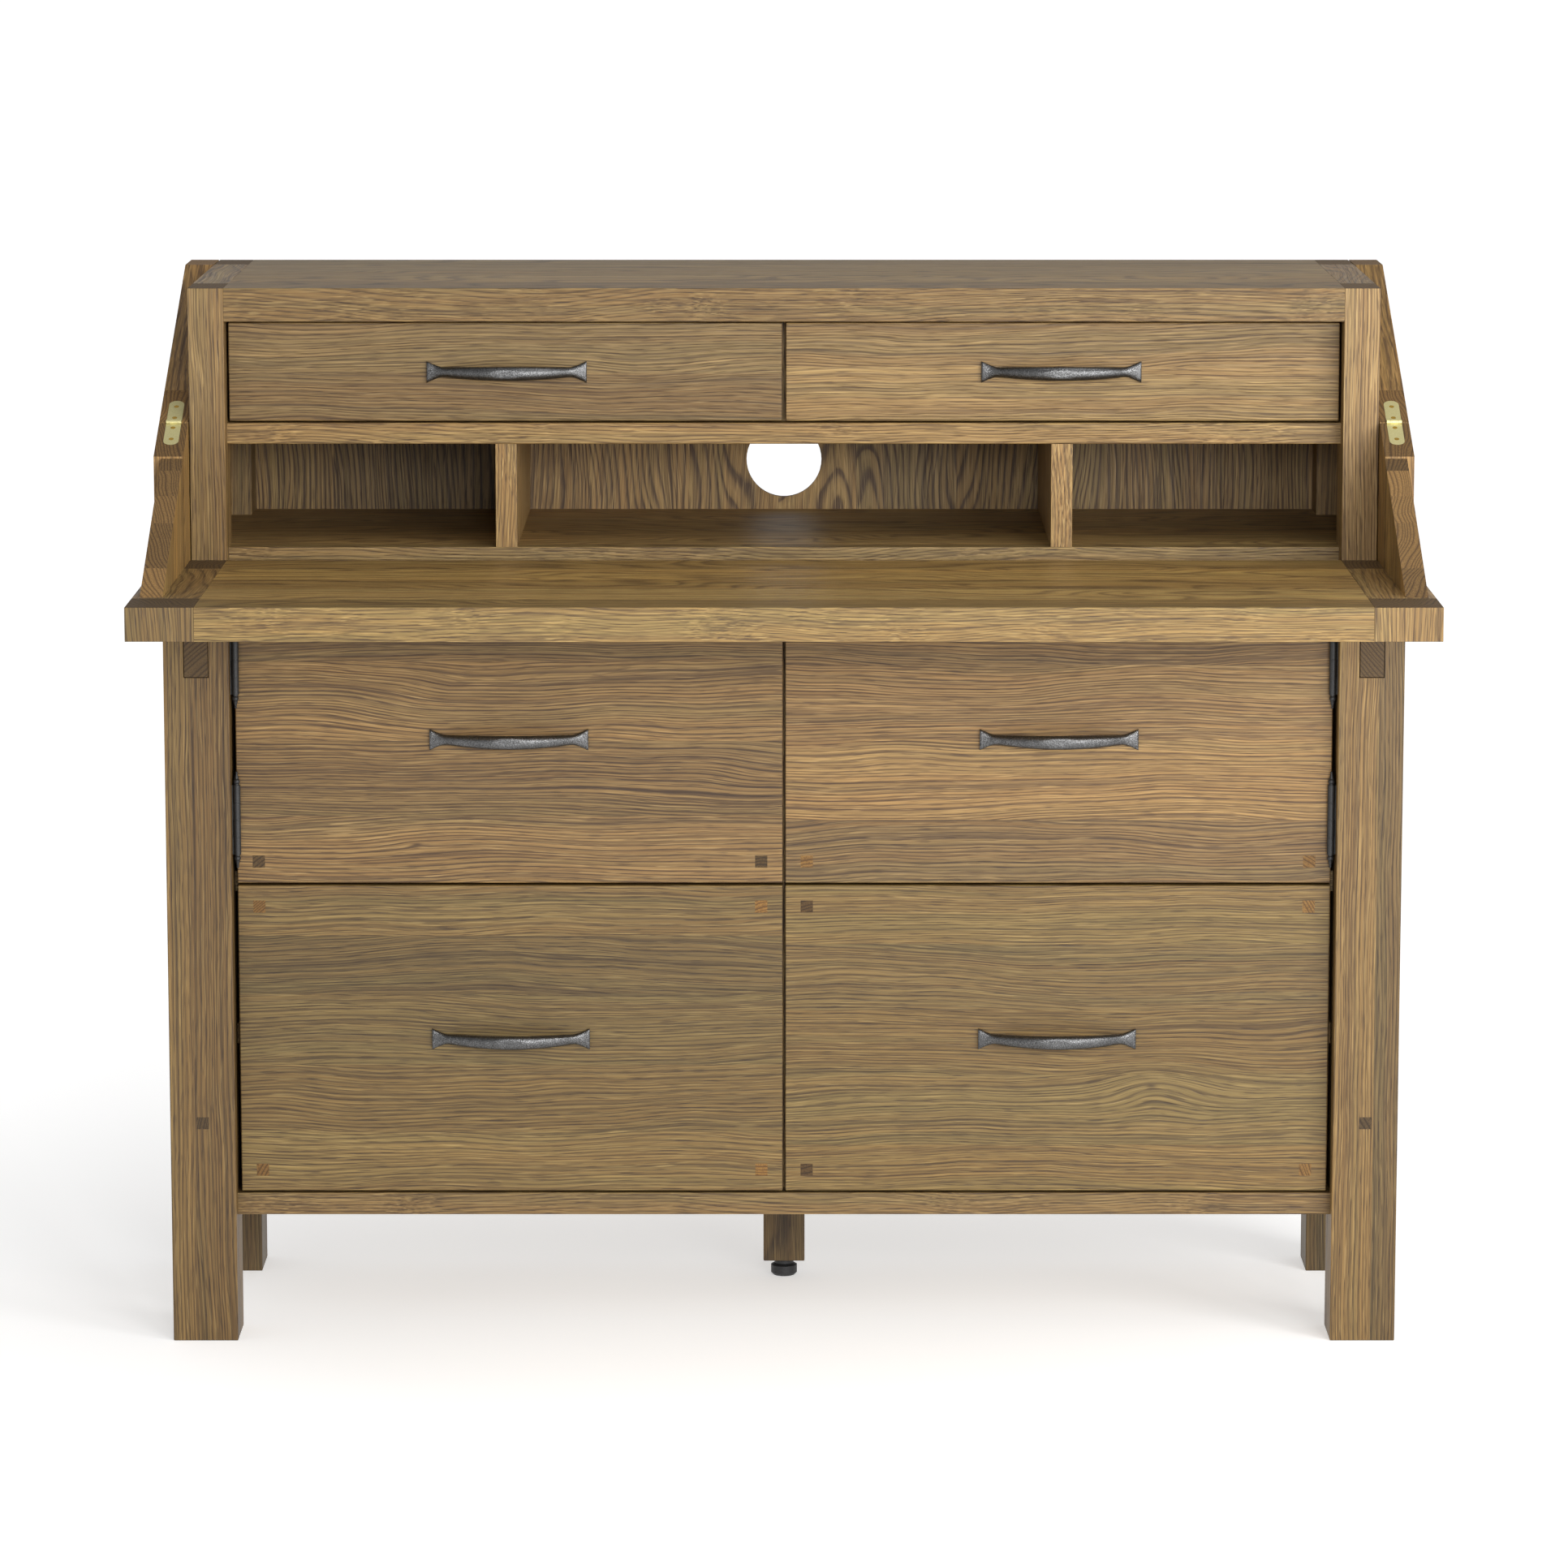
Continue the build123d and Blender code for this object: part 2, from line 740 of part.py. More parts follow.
def finial_pin(sign, middle):
    """A hinge pin with a ball and spire at each end."""
    with Locations((sign * butt_x, butt_y, middle)):
        Cylinder(radius=butt_pin, height=butt_length + 6)
    for end in (-1, 1):
        base = middle + end * butt_length / 2
        with Locations((sign * butt_x, butt_y, base + end * finial_collar[1] / 2)):
            Cylinder(radius=finial_collar[0], height=finial_collar[1])
        with Locations((sign * butt_x, butt_y, base + end * finial_ball_rise)):
            Sphere(radius=finial_ball)
        with Locations((sign * butt_x, butt_y, base + end * finial_cone_rise)):
            Cone(*finial_cone, rotation=(90 - 90 * end, 0, 0))
        with Locations((sign * butt_x, butt_y, base + end * finial_tip_rise)):
            Sphere(radius=finial_tip)


with BuildPart() as door_fixed_leaves:
    for sign in (-1, 1):
        butt_leaf(sign, (sign * (leg_inner - butt_leaf_thick), sign * leg_inner), 0)
        for middle in butt_heights:
            finial_pin(sign, middle)
save(door_fixed_leaves, "door_hinge_fixed_leaves")

for side, sign in (("left", -1), ("right", 1)):
    span = (sign * front_inner, sign * front_outer)
    low_x, high_x = min(span), max(span)
    with BuildPart() as door:
        board(span, (front_face, front_back), (door_bottom, door_top))
        fillet(door.edges(), edge_round)
        pegs(low_x, high_x, door_bottom, door_top, front_face, mode=Mode.SUBTRACT)
    save(door, f"door_{side}")

    with BuildPart() as door_pegs:
        pegs(low_x, high_x, door_bottom, door_top, front_face)
    save(door_pegs, f"door_pegs_{side}")

    with BuildPart() as door_leaves:
        butt_leaf(sign, (sign * front_outer, sign * (front_outer + butt_leaf_thick)), 1)
    save(door_leaves, f"door_hinge_leaves_{side}")

    with BuildPart() as door_pull:
        pull(sign * pull_x, front_face, (door_bottom + door_top) / 2)
    save(door_pull, f"door_pull_{side}")

# File drawers

for side, sign in (("left", -1), ("right", 1)):
    span = (sign * front_inner, sign * front_outer)
    low_x, high_x = min(span), max(span)
    with BuildPart() as file_front:
        board(span, (front_face, front_back), (file_bottom, file_top))
        fillet(file_front.edges(), edge_round)
        pegs(low_x, high_x, file_bottom, file_top, front_face, mode=Mode.SUBTRACT)
    save(file_front, f"file_drawer_front_{side}")

    with BuildPart() as file_pegs:
        pegs(low_x, high_x, file_bottom, file_top, front_face)
    save(file_pegs, f"file_drawer_pegs_{side}")

    case_wall = (sign * partition_half, sign * leg_inner)
    box_x = (min(case_wall) + box_side_gap, max(case_wall) - box_side_gap)
    with BuildPart() as file_box:
        drawer_box(
            box_x,
            (front_back, carcass_back - 6.0),
            (file_box_bottom, file_box_top),
            file_side_thick,
            file_base_thick,
        )
        groove_y = (carcass_front, carcass_back)
        groove_z = (runner_z[0] - groove_play, runner_z[1] + groove_play)
        board((box_x[0] - 1, box_x[0] + groove_depth), groove_y, groove_z, mode=Mode.SUBTRACT)
        board((box_x[1] - groove_depth, box_x[1] + 1), groove_y, groove_z, mode=Mode.SUBTRACT)
    save(file_box, f"file_drawer_box_{side}")

    with BuildPart() as file_pull:
        pull(sign * pull_x, front_face, (file_bottom + file_top) / 2)
    save(file_pull, f"file_drawer_pull_{side}")

# Lopers, each with a stop peg across its inner end

for side, sign in (("left", -1), ("right", 1)):
    with BuildPart() as loper:
        board(
            (sign * loper_x - loper_width / 2, sign * loper_x + loper_width / 2),
            (front, front + loper_length),
            (loper_bottom, loper_bottom + loper_height),
        )
        fillet(loper.edges(), joint_round)
        with Locations((sign * loper_x, loper_stop_y, loper_stop_z)):
            stop_hole = loper_stop_radius + running_clearance
            Cylinder(stop_hole, loper_stop_length, rotation=(0, 90, 0), mode=Mode.SUBTRACT)
            Cylinder(loper_stop_radius, loper_stop_length, rotation=(0, 90, 0))
    save(loper, f"loper_{side}")
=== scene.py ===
"""Looks of the flip-top secretary desk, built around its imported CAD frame.

Units are metres. X runs to the right, Y to the back and Z up, as in the frame.
"""

import math

import bpy
import bmesh
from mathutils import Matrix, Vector


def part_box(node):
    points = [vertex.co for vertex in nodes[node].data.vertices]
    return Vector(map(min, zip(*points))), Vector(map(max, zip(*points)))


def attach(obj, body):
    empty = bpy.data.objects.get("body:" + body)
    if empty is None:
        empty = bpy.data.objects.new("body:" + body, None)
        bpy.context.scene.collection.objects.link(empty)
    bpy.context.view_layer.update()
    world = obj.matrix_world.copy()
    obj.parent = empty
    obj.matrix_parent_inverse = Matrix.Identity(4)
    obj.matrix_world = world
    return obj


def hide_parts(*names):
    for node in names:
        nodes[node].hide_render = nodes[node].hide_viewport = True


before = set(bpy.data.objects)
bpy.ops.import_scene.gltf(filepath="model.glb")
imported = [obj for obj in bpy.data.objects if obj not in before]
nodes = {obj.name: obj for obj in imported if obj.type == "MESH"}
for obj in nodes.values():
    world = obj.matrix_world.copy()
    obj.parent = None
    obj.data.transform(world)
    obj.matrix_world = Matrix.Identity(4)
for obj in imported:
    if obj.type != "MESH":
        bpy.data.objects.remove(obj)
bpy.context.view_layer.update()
scene = bpy.context.scene


def node_span(name, axis):
    """Lowest and highest place of a CAD node along an axis (0, 1 or 2)."""
    low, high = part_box(name)
    return low[axis], high[axis]


FRONT = node_span("leg_front_left", 1)[0]
TOP_LOW = node_span("hutch_top", 2)[0]
WING_SLOPE = math.radians(24.1)
WING_BEND = 0.83  # height between the wings' level rails and the sloping ones
PANEL_LOW, PANEL_HIGH = 0.203, 0.671  # heights of the base's side panels, between their rails
FILE_SIDE, HUTCH_SIDE = 0.0165, 0.0125  # just over the thickness of the drawer boxes' sides
# the legs are darker than the rest: partly the wood's own tone, partly painted shade low under the desk
LEG_SHADE_AND_TONE = 0.70
# the rear legs are darker still, as painted shade behind and under the cabinet
REAR_LEG_SHADE_AND_TONE = LEG_SHADE_AND_TONE * 0.85

# ---------------------------------------------------------------- node helpers


class Graph:
    """Short calls that add and join shader nodes in one tree."""

    def __init__(self, tree):
        self.tree = tree

    def put(self, kind, settings=None, **sockets):
        node = self.tree.nodes.new(kind)
        for name, value in (settings or {}).items():
            setattr(node, name, value)
        for name, value in sockets.items():
            self.feed(node.inputs[name.replace("_", " ")], value)
        return node

    def feed(self, socket, value):
        if isinstance(value, bpy.types.NodeSocket):
            self.tree.links.new(value, socket)
        else:
            socket.default_value = value

    def math(self, operation, *values):
        node = self.tree.nodes.new("ShaderNodeMath")
        node.operation = operation
        for socket, value in zip(node.inputs, values):
            self.feed(socket, value)
        return node.outputs[0]

    def vector_math(self, operation, *values):
        node = self.tree.nodes.new("ShaderNodeVectorMath")
        node.operation = operation
        for socket, value in zip(node.inputs, values):
            self.feed(socket, value)
        return node.outputs["Value" if operation in ("DOT_PRODUCT", "LENGTH") else 0]

    def scale(self, vector, factor):
        node = self.put("ShaderNodeVectorMath", {"operation": "SCALE"}, Vector=vector, Scale=factor)
        return node.outputs[0]

    def split(self, vector):
        return self.put("ShaderNodeSeparateXYZ", Vector=vector).outputs

    def join(self, x, y, z):
        node = self.tree.nodes.new("ShaderNodeCombineXYZ")
        for socket, value in zip(node.inputs, (x, y, z)):
            self.feed(socket, value)
        return node.outputs[0]

    def noise(self, vector, scale, detail=2.0, roughness=0.5):
        node = self.put("ShaderNodeTexNoise", Vector=vector)
        self.feed(node.inputs["Scale"], scale)
        self.feed(node.inputs["Detail"], detail)
        self.feed(node.inputs["Roughness"], roughness)
        return node.outputs["Fac"]

    def white(self, value):
        return self.put("ShaderNodeTexWhiteNoise", {"noise_dimensions": "1D"}, W=value).outputs["Color"]

    def ramp(self, value, stops):
        node = self.put("ShaderNodeValToRGB", Fac=value)
        points = node.color_ramp.elements
        while len(points) < len(stops):
            points.new(0.5)
        for point, (place, grey) in zip(points, stops):
            point.position = place
            point.color = (grey, grey, grey, 1)
        return node.outputs["Color"]

    def mix(self, factor, a, b, blend="MIX"):
        node = self.tree.nodes.new("ShaderNodeMix")
        node.data_type = "RGBA"
        node.blend_type = blend
        self.feed(node.inputs["Factor"], factor)
        self.feed(node.inputs[6], a)
        self.feed(node.inputs[7], b)
        return node.outputs[2]

    def mix_vector(self, factor, a, b):
        node = self.tree.nodes.new("ShaderNodeMix")
        node.data_type = "VECTOR"
        self.feed(node.inputs["Factor"], factor)
        self.feed(node.inputs[4], a)
        self.feed(node.inputs[5], b)
        return node.outputs[1]

    def span(self, value, from_low, from_high, to_low, to_high):
        node = self.tree.nodes.new("ShaderNodeMapRange")
        for socket, number in zip(node.inputs[:5], (value, from_low, from_high, to_low, to_high)):
            self.feed(socket, number)
        return node.outputs[0]


# ---------------------------------------------------------------- camera and light

EYE_HEIGHT = 1.526
EYE_DISTANCE = 6.0
AIM_HEIGHT = 0.5545
LENS = 144.0
SENSOR_WIDTH = 36.0
FLOOR_REACH = 60.0
FLOOR_PAINT = 0.9
FLOOR_GLOW = (0.4, 2.2, 0.42, 0.68)  # from and to distance from the middle, then the glow at each
ROOM_GLOW = (0.13, 0.24, 1.0, 0.40)  # from and to share of straight up, then the light at each
LIGHTS = (("key", (1.70, FRONT - 4.0, 1.40), (0, 0, 0.75), 1.5, 1.9, 78),
          ("front", (0.25, FRONT - 4.2, 1.60), (0, 0, 0.75), 0.6, 0.6, 34),
          ("side", (2.2, FRONT - 1.8, 1.3), (0.3, 0, 0.7), 1.0, 1.0, 30),
          ("top", (0.8, FRONT - 0.8, 2.8), (0, -0.1, 0.8), 1.6, 1.6, 15))


def make_camera():
    """A long lens, straight in front of the desk and a little above it."""
    data = bpy.data.cameras.new("camera")
    data.lens = LENS
    data.sensor_width = SENSOR_WIDTH
    camera = bpy.data.objects.new("camera", data)
    scene.collection.objects.link(camera)
    camera.location = (0.0, FRONT - EYE_DISTANCE, EYE_HEIGHT)
    aim = Vector((0.0, FRONT, AIM_HEIGHT))
    camera.rotation_euler = (aim - camera.location).to_track_quat("-Z", "Y").to_euler()
    scene.camera = camera


def area_light(name, place, aim, width, height, watts):
    """A soft light with a flat rectangular face."""
    data = bpy.data.lights.new(name, "AREA")
    data.shape = "RECTANGLE"
    data.size = width
    data.size_y = height
    data.energy = watts
    lamp = bpy.data.objects.new(name, data)
    scene.collection.objects.link(lamp)
    lamp.location = place
    lamp.rotation_euler = (Vector(aim) - Vector(place)).to_track_quat("-Z", "Y").to_euler()


def make_studio():
    """A glowing pale floor, a room that is white at the horizon, and soft lights from the right."""
    floor_mesh = bpy.data.meshes.new("floor")
    corners = [(x * FLOOR_REACH, y * FLOOR_REACH, 0) for x, y in ((-1, -1), (1, -1), (1, 1), (-1, 1))]
    floor_mesh.from_pydata(corners, [], [(0, 1, 2, 3)])
    floor = bpy.data.objects.new("floor", floor_mesh)
    scene.collection.objects.link(floor)
    paint = bpy.data.materials.new("pale_floor")
    paint.use_nodes = True
    shader = paint.node_tree.nodes["Principled BSDF"]
    shader.inputs["Base Color"].default_value = (FLOOR_PAINT, FLOOR_PAINT, FLOOR_PAINT, 1)
    shader.inputs["Roughness"].default_value = 0.9
    shader.inputs["Emission Color"].default_value = (1, 1, 1, 1)
    g = Graph(paint.node_tree)
    place = g.put("ShaderNodeTexCoord").outputs["Object"]
    distance = g.vector_math("LENGTH", place)
    g.feed(shader.inputs["Emission Strength"], g.span(distance, *FLOOR_GLOW))
    floor_mesh.materials.append(paint)

    world = bpy.data.worlds.new("white_room")
    world.use_nodes = True
    sky = Graph(world.node_tree)
    upward = sky.split(sky.put("ShaderNodeTexCoord").outputs["Generated"])[2]
    background = world.node_tree.nodes["Background"].inputs
    background["Color"].default_value = (1, 1, 1, 1)
    sky.feed(background["Strength"], sky.span(upward, *ROOM_GLOW))
    scene.world = world
    for light in LIGHTS:
        area_light(*light)
    scene.view_settings.view_transform = "Standard"


# ---------------------------------------------------------------- solid oak

PALE_WOOD = (0.375, 0.232, 0.078, 1)
# pale colour of the grain's small glints, painted in as highlight
PAINTED_GLINT_WOOD = (0.430, 0.285, 0.110, 1)
MID_WOOD = (0.222, 0.133, 0.043, 1)
DARK_WOOD = (0.060, 0.031, 0.013, 1)
OLIVE_WOOD = (0.205, 0.138, 0.048, 1)
RUSSET_WOOD = (0.240, 0.124, 0.038, 1)
END_WOOD = (0.170, 0.102, 0.038, 1)
END_LINE = (0.050, 0.027, 0.012, 1)
RING_PITCH = 0.0035
WIDE_SPACING = 43.0  # keeps two boards' places in the noise far apart

# length along and width across the grain of each feature, in metres
SWAY, RISE, RIPPLE = (0.34, 0.13), (0.40, 0.15), (0.17, 0.030)
BAND, STREAK, FIBRE = (0.90, 0.018), (0.80, 0.0048), (0.42, 0.0016)
PORE, FLECK, GRIT = (0.026, 0.0010), (0.045, 0.0011), (0.130, 0.0015)
SWAY_REACH, RISE_REACH, RIPPLE_REACH = 0.0085, 0.015, 0.0005

SIDE_STEP = 17.0  # added to a board's number right of the middle
OTHER_STEP = 7.0  # added to the number of boards that run the other way
FACES_BACK = 0.5
KNOT_DARKNESS = 0.8
OAK_SPECULAR = 0.38
OAK_BUMP = 0.35
BUMP_DEPTH = 0.0005


def make_grain_group():
    """Solid timber: rings round a pith, fibres, pores and streaks, all in metres.

    Place runs along the grain in X, across the board's face in Y and through it in Z. Chance
    holds three numbers of the board's own, End is 1 where the surface cuts across the grain,
    Figure says how wild the rings are, Swell lifts the rings round a knot, Eye darkens its
    middle, and Lines is how dark the rings and streaks are drawn.
    """
    group = bpy.data.node_groups.new("oak_grain", "ShaderNodeTree")
    face = group.interface
    for name, kind in (("Place", "Vector"), ("Chance", "Vector"), ("End", "Float"), ("Figure", "Float"),
                       ("Swell", "Float"), ("Eye", "Float"), ("Lines", "Float")):
        face.new_socket(name, in_out="INPUT", socket_type="NodeSocket" + kind)
    for name, kind in (("Color", "Color"), ("Height", "Float"), ("Gloss", "Float")):
        face.new_socket(name, in_out="OUTPUT", socket_type="NodeSocket" + kind)
    g = Graph(group)
    inlet = group.nodes.new("NodeGroupInput").outputs
    outlet = group.nodes.new("NodeGroupOutput").inputs
    place, end, figure, swell = (inlet[key] for key in ("Place", "End", "Figure", "Swell"))
    eye, lines = inlet["Eye"], inlet["Lines"]
    luck = g.split(inlet["Chance"])
    own = g.scale(inlet["Chance"], WIDE_SPACING)

    def stretched(source, size, detail=2.0, roughness=0.5):
        along, across = size
        cells = g.vector_math("MULTIPLY", source, (1 / along, 1 / across, 1 / across))
        return g.noise(cells, 1.0, detail, roughness)

    # the grain wanders along the board and swells round a knot, and the rings dip through it
    still = g.vector_math("ADD", place, own)
    other = g.vector_math("ADD", still, (5.0, 9.0, 3.0))
    sway = g.span(stretched(still, SWAY), 0.3, 0.7, -1, 1)
    rise = g.span(stretched(other, RISE), 0.3, 0.7, -1, 1)
    ripple = g.span(stretched(still, RIPPLE), 0.25, 0.75, -RIPPLE_REACH, RIPPLE_REACH)
    shift_y = g.math("ADD", g.math("MULTIPLY", sway, g.math("MULTIPLY", figure, SWAY_REACH)), ripple)
    shift_y = g.math("SUBTRACT", shift_y, swell)
    shift_z = g.math("MULTIPLY", rise, g.math("MULTIPLY", figure, RISE_REACH))
    bent = g.vector_math("ADD", place, g.join(0.0, shift_y, g.math("ADD", shift_z, ripple)))
    apart = g.vector_math("ADD", g.vector_math("ADD", place, g.join(0.0, shift_y, 0.0)), own)
    x, y, z = g.split(bent)

    # rings round a pith that lies behind the board
    across = g.math("ADD", y, g.span(luck[0], 0, 1, -0.070, 0.070))
    through = g.math("ADD", z, g.span(luck[1], 0, 1, 0.028, 0.075))
    radius = g.math("SQRT", g.math("ADD", g.math("MULTIPLY", across, across),
                                   g.math("MULTIPLY", through, through)))
    seasons = g.noise(g.join(g.math("MULTIPLY", radius, 75.0), luck[2], 0.0), 1.0, 1.0)
    age = g.math("ADD", g.math("DIVIDE", radius, RING_PITCH), g.math("MULTIPLY", seasons, 3.2))
    ring = g.math("FRACT", age)
    late = g.ramp(ring, ((0.0, 1.0), (0.13, 0.90), (0.30, 0.28), (0.60, 0.0), (0.88, 0.22), (1.0, 1.0)))

    # what runs along the fibres, from broad bands to single pores
    band = stretched(apart, BAND)
    streak = stretched(apart, STREAK, 2.0, 0.6)
    fibre = stretched(apart, FIBRE, 3.0, 0.66)
    pore = stretched(apart, PORE, 1.0)
    fleck = stretched(apart, FLECK, 1.0)
    grit = stretched(apart, GRIT, 3.0, 0.7)

    hue = g.math("ADD", band, g.span(luck[0], 0, 1, -0.09, 0.09))
    wood = g.mix(g.span(hue, 0.36, 0.62, 0.0, 1.0), RUSSET_WOOD, OLIVE_WOOD)
    wood = g.mix(g.span(band, 0.30, 0.50, 0.85, 0.15), wood, MID_WOOD)
    wood = g.mix(g.span(fibre, 0.40, 0.66, 0.05, 0.62), wood, PALE_WOOD)
    deep = g.math("MULTIPLY", lines, g.span(streak, 0.53, 0.65, 0.0, 0.62))
    deep = g.math("MULTIPLY", deep, g.span(fibre, 0.35, 0.65, 1.0, 0.45))
    wood = g.mix(deep, wood, DARK_WOOD)
    line = g.math("MULTIPLY", g.math("MULTIPLY", late, lines), g.span(fibre, 0.32, 0.62, 1.0, 0.62))
    wood = g.mix(line, wood, DARK_WOOD)
    pits = g.math("MULTIPLY", g.span(pore, 0.57, 0.66, 0.0, 0.78), g.span(late, 0.0, 0.5, 0.55, 1.0))
    wood = g.mix(pits, wood, DARK_WOOD)
    # pale flecks along the fibres: painted highlight, the grain's small glints drawn into the colour
    bright = g.span(fleck, 0.60, 0.69, 0.0, 0.52)
    wood = g.mix(bright, wood, PAINTED_GLINT_WOOD)
    wood = g.scale(wood, g.span(grit, 0.25, 0.75, 0.70, 1.32))
    wood = g.mix(eye, wood, DARK_WOOD)

    # each board's own tone: lighter or darker, redder or greyer
    wood = g.scale(wood, g.span(luck[2], 0, 1, 0.84, 1.16))
    greyed = g.mix(1.0, wood, (0.86, 0.94, 1.10, 1), "MULTIPLY")
    wood = g.mix(g.span(luck[1], 0, 1, 0.0, 0.55), wood, greyed)

    # end grain is darker, with the rings drawn as close hatching
    rays = g.noise(g.vector_math("MULTIPLY", apart, (40.0, 900.0, 900.0)), 1.0, 2.0, 0.6)
    cut = g.mix(g.math("MULTIPLY", late, 0.85), END_WOOD, END_LINE)
    cut = g.mix(g.span(rays, 0.45, 0.65, 0.0, 0.55), cut, END_LINE)
    cut = g.scale(cut, g.span(luck[0], 0, 1, 0.70, 1.35))
    g.feed(outlet["Color"], g.mix(end, wood, cut))
    height = g.math("SUBTRACT", g.math("MULTIPLY", fibre, 0.8),
                    g.math("ADD", g.math("MULTIPLY", late, 0.25), pits))
    g.feed(outlet["Height"], height)
    satin = g.span(fibre, 0.3, 0.7, 0.56, 0.40)
    g.feed(outlet["Gloss"], g.math("ADD", satin, g.math("MULTIPLY", end, 0.20)))
    return group


GRAIN = make_grain_group()
AXES = {"x": (1, 0, 0), "y": (0, 1, 0), "z": (0, 0, 1)}
SLOPE_AXIS = (0, math.cos(WING_SLOPE), math.sin(WING_SLOPE))


def board_place(g, xyz, grain, face):
    """Coordinates along the grain, across the face and through the board."""
    if grain == "slope":
        x, y, z = xyz
        _, flat, steep = SLOPE_AXIS
        along = g.math("ADD", g.math("MULTIPLY", y, flat), g.math("MULTIPLY", z, steep))
        rise = g.math("SUBTRACT", g.math("MULTIPLY", z, flat), g.math("MULTIPLY", y, steep))
        return g.join(along, rise, x)
    order = dict(zip("xyz", xyz))
    return g.join(order[grain], order[face], order[({"x", "y", "z"} - {grain, face}).pop()])


def end_factor(g, normal, grain):
    """One where the surface cuts across the grain, nought along it."""
    axis = SLOPE_AXIS if grain == "slope" else AXES[grain]
    lean = g.math("ABSOLUTE", g.vector_math("DOT_PRODUCT", normal, axis))
    return g.span(lean, 0.25, 0.60, 0.0, 1.0)


def knot_shape(g, xyz, knots):
    """Swelling and darkness round some knots, each (place, length, width, swelling, eye)."""
    swell, dark = 0.0, 0.0
    for place, length, width, lift, eye in knots:
        away = g.math("MULTIPLY", g.math("SUBTRACT", xyz[0], place[0]), 1 / length)
        aside = g.math("MULTIPLY", g.math("SUBTRACT", xyz[2], place[2]), 1 / width)
        reach = g.math("ADD", g.math("MULTIPLY", away, away), g.math("MULTIPLY", aside, aside))
        hump = g.math("EXPONENT", g.math("MULTIPLY", reach, -1.0))
        swell = g.math("ADD", swell, g.math("MULTIPLY", hump, lift))
        middle = g.math("EXPONENT", g.math("MULTIPLY", reach, -1 / eye ** 2))
        dark = g.math("ADD", dark, g.math("MULTIPLY", middle, KNOT_DARKNESS))
    return swell, dark


def oak(name, grain, face, seed, planks=None, other=None, pick=None, tone=1.0, figure=1.0, knots=(),
        sides=False, lines=0.85, tint=(1, 1, 1), behind=1.0):
    """Oiled oak for one node.

    grain and face name the axes along the grain and across the board's wide face. Each seed
    gives a board another grain. planks is (axis, places, tones) for boards glued side by
    side, or (axis, places) where they share one tone. other is
    (grain, face) for the boards that pick(g, xyz) marks with 1, where a node holds boards that
    run two ways. sides gives the boards left and right of the middle different grain. tone
    lightens or darkens them all, figure is how wildly the rings run, lines how dark they are,
    knots are as knot_shape takes them, tint shifts the whole colour, and behind is the tone
    of the faces that look backwards, which takes back off them the painted light that raised
    tones give a node's inside faces.
    """
    material = bpy.data.materials.new(name)
    material.use_nodes = True
    g = Graph(material.node_tree)
    shader = material.node_tree.nodes["Principled BSDF"]
    source = g.put("ShaderNodeTexCoord").outputs
    xyz = g.split(source["Object"])
    number, shade = float(seed), tone
    if planks:
        place = xyz["xyz".index(planks[0])]
        tones = planks[2] if len(planks) > 2 else None
        if tones:
            shade = tones[0] * tone
        for i, edge in enumerate(planks[1]):
            past = g.math("GREATER_THAN", place, edge)
            number = g.math("ADD", number, past)
            if tones:
                step = (tones[i + 1] - tones[i]) * tone
                shade = g.math("ADD", shade, g.math("MULTIPLY", past, step))
    # faces that look backwards lose the painted light that raised tones put on the faces inside
    if behind != 1.0:
        backward = g.math("GREATER_THAN", g.split(source["Normal"])[1], FACES_BACK)
        shade = g.math("MULTIPLY", shade, g.span(backward, 0, 1, 1.0, behind))
    if sides:
        right = g.math("GREATER_THAN", xyz[0], 0.0)
        number = g.math("ADD", number, g.math("MULTIPLY", right, SIDE_STEP))
    grain_place = board_place(g, xyz, grain, face)
    end = end_factor(g, source["Normal"], grain)
    if other:
        mark = pick(g, xyz)
        number = g.math("ADD", number, g.math("MULTIPLY", mark, OTHER_STEP))
        grain_place = g.mix_vector(mark, grain_place, board_place(g, xyz, *other))
        end = g.math("ADD", g.math("MULTIPLY", end, g.math("SUBTRACT", 1.0, mark)),
                     g.math("MULTIPLY", end_factor(g, source["Normal"], other[0]), mark))
    timber = material.node_tree.nodes.new("ShaderNodeGroup")
    timber.node_tree = GRAIN
    swell, eye = knot_shape(g, xyz, knots)
    for socket, value in (("Place", grain_place), ("Chance", g.white(number)), ("End", end),
                          ("Figure", figure), ("Swell", swell), ("Eye", eye), ("Lines", lines)):
        g.feed(timber.inputs[socket], value)
    tinted = g.vector_math("MULTIPLY", timber.outputs["Color"], tint)
    g.feed(shader.inputs["Base Color"], g.scale(tinted, shade))
    g.feed(shader.inputs["Roughness"], timber.outputs["Gloss"])
    shader.inputs["Specular IOR Level"].default_value = OAK_SPECULAR
    bump = g.put("ShaderNodeBump", Height=timber.outputs["Height"], Strength=OAK_BUMP, Distance=BUMP_DEPTH)
    g.feed(shader.inputs["Normal"], bump.outputs["Normal"])
    return material


def dress(node, material):
    """Give a CAD node its finish."""
    target = nodes[node]
    if not target.material_slots:
        target.data.materials.append(material)
    for holder in target.material_slots:
        holder.link = "OBJECT"
        holder.material = material


def near_x_ends(node, thick):
    """Marks the boards at a node's two X ends."""
    low, high = node_span(node, 0)
    middle, half = (low + high) / 2, (high - low) / 2

    def pick(g, xyz):
        return g.math("GREATER_THAN", g.math("ABSOLUTE", g.math("SUBTRACT", xyz[0], middle)), half - thick)

    return pick


def above(height):
    """Marks the boards above a height."""

    def pick(g, xyz):
        return g.math("GREATER_THAN", xyz[2], height)

    return pick


def outside(low, high):
    """Marks the boards below or above a band of heights."""

    def pick(g, xyz):
        return g.math("GREATER_THAN", g.math("ABSOLUTE", g.math("SUBTRACT", xyz[2], (low + high) / 2)),
                      (high - low) / 2)

    return pick


